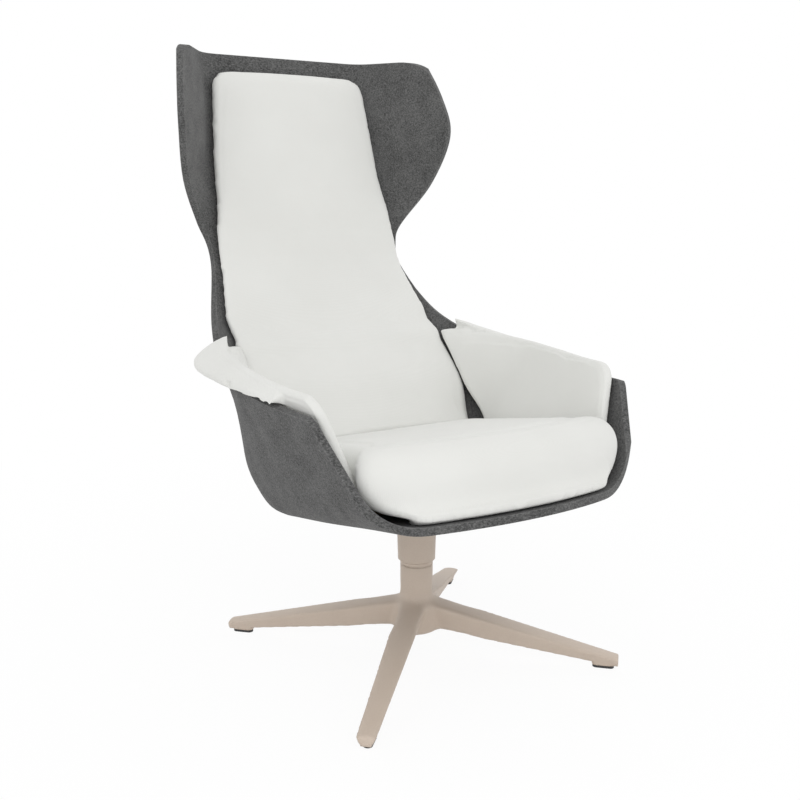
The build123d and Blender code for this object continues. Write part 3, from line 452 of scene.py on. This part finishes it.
def copy_of(node, name):
    """A piece of its own from a CAD node's mesh, with its loose triangles merged."""
    piece = bpy.data.objects.new(name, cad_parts[node].data.copy())
    piece.data.materials.clear()
    bpy.context.scene.collection.objects.link(piece)
    only(piece)
    bpy.ops.mesh.customdata_custom_splitnormals_clear()
    bpy.ops.object.mode_set(mode="EDIT")
    bpy.ops.mesh.select_all(action="SELECT")
    bpy.ops.mesh.remove_doubles(threshold=MERGE_DISTANCE)
    bpy.ops.object.mode_set(mode="OBJECT")
    return piece


def points_of(piece):
    """The piece's points as rows of x, y and z."""
    points = np.empty(3 * len(piece.data.vertices))
    piece.data.vertices.foreach_get("co", points)
    return points.reshape(-1, 3)


def set_points(piece, points):
    """Moves the piece's points."""
    piece.data.vertices.foreach_set("co", points.ravel())
    piece.data.update()


def room_of(node):
    """The surface of a CAD node, to be asked for the nearest place on it."""
    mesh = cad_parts[node].data
    corners = [vertex.co for vertex in mesh.vertices]
    return BVHTree.FromPolygons(corners, [polygon.vertices for polygon in mesh.polygons])


def keep_in_room(points, room, short, proud):
    """Points that lie too deep in the room, or stand out of it, are put back as far as they must."""
    kept = points.copy()
    for index, point in enumerate(points):
        place, normal, _, distance = room.find_nearest(Vector(point))
        off = Vector(point) - place
        limit = proud if off.dot(normal) > 0.0 else short
        if distance > limit:
            kept[index] = place + off * (limit / distance)
    return kept


def evened(field, piece, rounds):
    """Moves of the piece's points, evened out along its edges."""
    edges = np.empty(2 * len(piece.data.edges), dtype=np.int32)
    piece.data.edges.foreach_get("vertices", edges)
    first, second = edges.reshape(-1, 2).T
    here = np.concatenate([first, second])
    there = np.concatenate([second, first])
    count = np.bincount(here, minlength=len(field))
    for _ in range(rounds):
        means = [np.bincount(here, weights=axis[there], minlength=len(field)) / count for axis in field.T]
        field = (field + np.stack(means, axis=1)) / 2.0
    return field


def stuff(piece, swell, padding):
    """Blows the cover up like a stuffed cushion, and caps how far each point moves."""
    start = points_of(piece)
    cloth = piece.modifiers.new("stuffing", "CLOTH")
    cloth.settings.use_pressure = True
    cloth.settings.uniform_pressure_force = padding.pressure
    cloth.settings.effector_weights.gravity = 0.0
    cloth.settings.quality = CLOTH_QUALITY
    cloth.collision_settings.use_collision = False
    for step in range(1, padding.frames + 1):
        bpy.context.scene.frame_set(step)
    only(piece)
    bpy.ops.object.modifier_apply(modifier=cloth.name)
    bpy.context.scene.frame_set(1)
    moves = points_of(piece) - start
    lengths = np.linalg.norm(moves, axis=1, keepdims=True)
    moves = moves * np.minimum(1.0, swell / np.maximum(lengths, MERGE_DISTANCE))
    set_points(piece, start + evened(moves, piece, CLOTH_EVENING))


def smooth_points(piece, rounds):
    """Evens the piece's points out."""
    only(piece)
    bpy.ops.object.mode_set(mode="EDIT")
    bpy.ops.mesh.select_all(action="SELECT")
    bpy.ops.mesh.vertices_smooth(factor=SMOOTHING, repeat=rounds)
    bpy.ops.object.mode_set(mode="OBJECT")


def wrap(piece, node):
    """Draws the piece's points onto a CAD node's surface."""
    shrink = piece.modifiers.new("wrap", "SHRINKWRAP")
    shrink.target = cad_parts[node]
    shrink.wrap_method = "NEAREST_SURFACEPOINT"
    only(piece)
    bpy.ops.object.modifier_apply(modifier=shrink.name)


def padded_piece(node, name, grid, swell, short, evening, settings):
    """A stuffed cover in the room that a CAD node holds."""
    padding = settings.padding
    piece = copy_of(node, name)
    piece.data.remesh_voxel_size = grid
    bpy.ops.object.voxel_remesh()
    smooth_points(piece, evening)
    only(piece)
    bpy.ops.object.mode_set(mode="EDIT")
    bpy.ops.mesh.select_all(action="SELECT")
    bpy.ops.transform.shrink_fatten(value=-padding.slack)
    bpy.ops.object.mode_set(mode="OBJECT")
    stuff(piece, swell, padding)
    room = room_of(node)
    for share in SETTLING:
        set_points(piece, keep_in_room(points_of(piece), room, share * short, padding.proud))
        smooth_points(piece, 1)
    set_points(piece, keep_in_room(points_of(piece), room, short, padding.proud))
    refine = piece.modifiers.new("refine", "SUBSURF")
    refine.levels = REFINING
    refine.render_levels = REFINING
    only(piece)
    bpy.ops.object.modifier_apply(modifier=refine.name)
    bpy.ops.object.shade_smooth()
    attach(piece, SEAT_BODY)
    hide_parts(node)
    piece.data.materials.append(cover_material(settings.finishes))


def cover_material(finishes):
    """The pads' cloth, which is made once and then found by its name."""
    return bpy.data.materials.get(COVER_NAME) or cover_finish(finishes)


class LOUNGE_OT_felt_shell(bpy.types.Operator):
    """Finish the moulded shell in pressed felt"""

    bl_idname = "lounge_chair.felt_shell"
    bl_label = "Felt Shell"

    def execute(self, context):
        finishes = context.scene.lounge_chair.finishes
        finish_nodes(["outer_shell"], felt_finish(finishes))
        return {"FINISHED"}


class LOUNGE_OT_seat_cushion(bpy.types.Operator):
    """Stuff the seat cushion"""

    bl_idname = "lounge_chair.seat_cushion"
    bl_label = "Seat Cushion"

    def execute(self, context):
        settings = context.scene.lounge_chair
        padding = settings.padding
        padded_piece(
            "seat_cushion", "padded_seat", padding.seat_grid, padding.seat_swell, padding.short,
            padding.evening, settings,
        )
        return {"FINISHED"}


class LOUNGE_OT_back_pad(bpy.types.Operator):
    """Stuff the long pad of the back"""

    bl_idname = "lounge_chair.back_pad"
    bl_label = "Back Pad"

    def execute(self, context):
        settings = context.scene.lounge_chair
        padding = settings.padding
        padded_piece(
            "back_pad", "padded_back", padding.back_grid, padding.back_swell, padding.short,
            padding.evening, settings,
        )
        return {"FINISHED"}


class LOUNGE_OT_arm_pads(bpy.types.Operator):
    """Stuff the two arm pads"""

    bl_idname = "lounge_chair.arm_pads"
    bl_label = "Arm Pads"

    def execute(self, context):
        settings = context.scene.lounge_chair
        padding = settings.padding
        for side in ("left", "right"):
            padded_piece(
                f"arm_pad_{side}", f"padded_arm_{side}", padding.arm_grid, padding.arm_swell,
                padding.arm_short, padding.arm_evening, settings,
            )
        return {"FINISHED"}


def cast_star(casting):
    """The star base as it is cast: legs with soft edges that run into the column in wide hollows."""
    piece = copy_of("star_base", "cast_star_base")
    piece.data.remesh_voxel_size = casting.grid
    bpy.ops.object.voxel_remesh()
    wrap(piece, "star_base")
    points = points_of(piece)
    reach = np.hypot(points[:, 0], points[:, 1])
    inside = reach > casting.bore
    legs = np.clip((reach - casting.bore) / casting.blend_reach, 0.0, 1.0)
    hub = np.clip((casting.blend_end - reach) / casting.blend_reach, 0.0, 1.0)
    low = np.clip((casting.blend_top - points[:, 2]) / casting.blend_reach, 0.0, 1.0)
    for name, weights, rounds in (
        ("edges", inside * legs, casting.edge_rounds), ("hub", inside * hub * low, casting.hub_rounds)
    ):
        group = piece.vertex_groups.new(name=name)
        for index in np.flatnonzero(weights):
            group.add([int(index)], float(weights[index]), "REPLACE")
        soften = piece.modifiers.new(name, "SMOOTH")
        soften.vertex_group = name
        soften.iterations = rounds
        only(piece)
        bpy.ops.object.modifier_apply(modifier=soften.name)
    piece.vertex_groups.clear()
    bpy.ops.object.shade_smooth()
    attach(piece, BASE_BODY)
    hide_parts("star_base")
    return piece


class LOUNGE_OT_star_base(bpy.types.Operator):
    """Cast the star base, and finish it and its column in powder coat and the glides in black plastic"""

    bl_idname = "lounge_chair.star_base"
    bl_label = "Star Base"

    def execute(self, context):
        finishes = context.scene.lounge_chair.finishes
        coat = powder_finish(finishes)
        finish_nodes(["column_tube", "column_sleeve"], coat)
        cast_star(context.scene.lounge_chair.casting).data.materials.append(coat)
        glides = [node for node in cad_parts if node.startswith("glide_") and node != "glide_screws"]
        black = plastic_finish("glide_plastic", finishes.glide_plastic, roughness=0.5)
        finish_nodes([*glides, "hub_cover"], black)
        return {"FINISHED"}


class LOUNGE_OT_fittings(bpy.types.Operator):
    """Finish the boards, clips, plate, bearing and fasteners inside the chair"""

    bl_idname = "lounge_chair.fittings"
    bl_label = "Inner Fittings"

    def execute(self, context):
        finishes = context.scene.lounge_chair.finishes
        finish_nodes(["seat_board", "back_board", "arm_core_left", "arm_core_right"], ply_finish(finishes))
        clips = plastic_finish("clip_plastic", finishes.clip_plastic, roughness=0.55)
        finish_nodes(["back_clips", "arm_clips"], clips)
        bearing = plastic_finish("bush_plastic", finishes.bush_plastic, roughness=0.4)
        finish_nodes(["upper_bush", "lower_bush", "thrust_washer"], bearing)
        coated = metal_finish("black_plate", finishes.dark_steel, roughness=0.5, metallic=0.0)
        finish_nodes(["seat_plate"], coated)
        plated = metal_finish("plated_steel", finishes.steel, roughness=0.35, metallic=1.0)
        finish_nodes(
            ["plate_bolts", "tee_nuts", "spindle", "retaining_washer", "retaining_nut", "glide_screws"],
            plated,
        )
        return {"FINISHED"}


def soft_box(name, size, power, place):
    """A square area lamp that faces the chair."""
    lamp = bpy.data.lights.new(name, "AREA")
    lamp.size = size
    lamp.energy = power
    holder = bpy.data.objects.new(name, lamp)
    holder.location = place
    holder.rotation_euler = (Vector(LAMP_AIM) - Vector(place)).to_track_quat("-Z", "Y").to_euler()
    bpy.context.scene.collection.objects.link(holder)


def seen_directly(tree):
    """1 for what the camera sees straight, in a mirror or through glass, and else 0."""
    path = tree.nodes.new("ShaderNodeLightPath")
    total = path.outputs["Is Camera Ray"]
    for ray in ("Is Glossy Ray", "Is Transmission Ray"):
        add = tree.nodes.new("ShaderNodeMath")
        add.operation = "MAXIMUM"
        tree.links.new(total, add.inputs[0])
        tree.links.new(path.outputs[ray], add.inputs[1])
        total = add.outputs[0]
    return total


def studio_world(strength):
    """Even light from all round, and white where it is seen itself."""
    world = bpy.data.worlds.new("studio")
    world.use_nodes = True
    tree = world.node_tree
    light = tree.nodes["Background"]
    light.inputs["Color"].default_value = WHITE
    light.inputs["Strength"].default_value = strength
    white = tree.nodes.new("ShaderNodeBackground")
    white.inputs["Color"].default_value = WHITE
    white.inputs["Strength"].default_value = 1.0
    mix = tree.nodes.new("ShaderNodeMixShader")
    tree.links.new(seen_directly(tree), mix.inputs[0])
    tree.links.new(light.outputs[0], mix.inputs[1])
    tree.links.new(white.outputs[0], mix.inputs[2])
    tree.links.new(mix.outputs[0], tree.nodes["World Output"].inputs["Surface"])
    bpy.context.scene.world = world


def floor_finish(studio):
    """A pale floor that keeps a soft shadow near the chair and fades to white away from it."""
    floor = Finish("pale_floor", Roughness=1.0, Specular_IOR_Level=0.0)
    floor.paint(opaque(studio.floor))
    glow = floor.node("ShaderNodeEmission", {"Color": WHITE, "Strength": 1.0})
    reach = floor.node("ShaderNodeVectorMath", {0: floor.place}, operation="LENGTH").outputs["Value"]
    white = floor.levels(reach, FADE_RANGE, (1.0 - studio.shadow, 1.0))
    share = floor.math("MULTIPLY", white, seen_directly(floor.tree))
    mix = floor.node("ShaderNodeMixShader", {0: share, 1: floor.surface.outputs[0], 2: glow.outputs[0]})
    floor.tree.links.new(mix.outputs[0], floor.tree.nodes["Material Output"].inputs["Surface"])
    return floor.material


class LOUNGE_OT_studio(bpy.types.Operator):
    """Set the floor, the lamps and the camera"""

    bl_idname = "lounge_chair.studio"
    bl_label = "Studio"

    def execute(self, context):
        studio = context.scene.lounge_chair.studio
        bpy.ops.object.select_all(action="DESELECT")
        bpy.ops.mesh.primitive_plane_add(size=FLOOR_SIZE)
        floor = bpy.context.object
        floor.name = "studio_floor"
        floor.data.materials.append(floor_finish(studio))
        studio_world(studio.sky)
        soft_box("key_box", KEY_SIZE, studio.key, KEY_PLACE)
        soft_box("rim_box", RIM_SIZE, studio.rim, RIM_PLACE)
        lens = bpy.data.cameras.new("camera")
        lens.sensor_width = SENSOR_WIDTH
        lens.lens = studio.lens
        camera = bpy.data.objects.new("camera", lens)
        camera.location = studio.camera_place
        camera.rotation_euler = (math.pi / 2.0 - studio.camera_dip, 0.0, studio.camera_turn)
        context.scene.collection.objects.link(camera)
        context.scene.camera = camera
        context.scene.view_settings.view_transform = "Standard"
        return {"FINISHED"}


class LOUNGE_PT_chair(bpy.types.Panel):
    """Steps and settings of the lounge chair"""

    bl_label = "Lounge Chair"
    bl_idname = "LOUNGE_PT_chair"
    bl_space_type = "VIEW_3D"
    bl_region_type = "UI"
    bl_category = "Lounge Chair"

    def draw(self, context):
        for step in STEPS:
            self.layout.operator(step.bl_idname)
        settings = context.scene.lounge_chair
        for group in (settings.finishes, settings.padding, settings.casting, settings.studio):
            box = self.layout.box()
            for name in group.__annotations__:
                box.prop(group, name)


STEPS = (
    LOUNGE_OT_felt_shell,
    LOUNGE_OT_seat_cushion,
    LOUNGE_OT_back_pad,
    LOUNGE_OT_arm_pads,
    LOUNGE_OT_star_base,
    LOUNGE_OT_fittings,
    LOUNGE_OT_studio,
)
CLASSES = (
    ChairFinishes, ChairPadding, ChairCasting, ChairStudio, ChairSettings, *STEPS, LOUNGE_PT_chair
)


def register():
    """Adds the chair's settings, steps and panel to Blender."""
    for kind in CLASSES:
        bpy.utils.register_class(kind)
    bpy.types.Scene.lounge_chair = PointerProperty(type=ChairSettings)


def unregister():
    """Takes them out again."""
    del bpy.types.Scene.lounge_chair
    for kind in reversed(CLASSES):
        bpy.utils.unregister_class(kind)


def main():
    """Builds the whole chair and its studio."""
    register()
    bpy.ops.lounge_chair.felt_shell()
    bpy.ops.lounge_chair.seat_cushion()
    bpy.ops.lounge_chair.back_pad()
    bpy.ops.lounge_chair.arm_pads()
    bpy.ops.lounge_chair.star_base()
    bpy.ops.lounge_chair.fittings()
    bpy.ops.lounge_chair.studio()


if __name__ == "__main__":
    main()
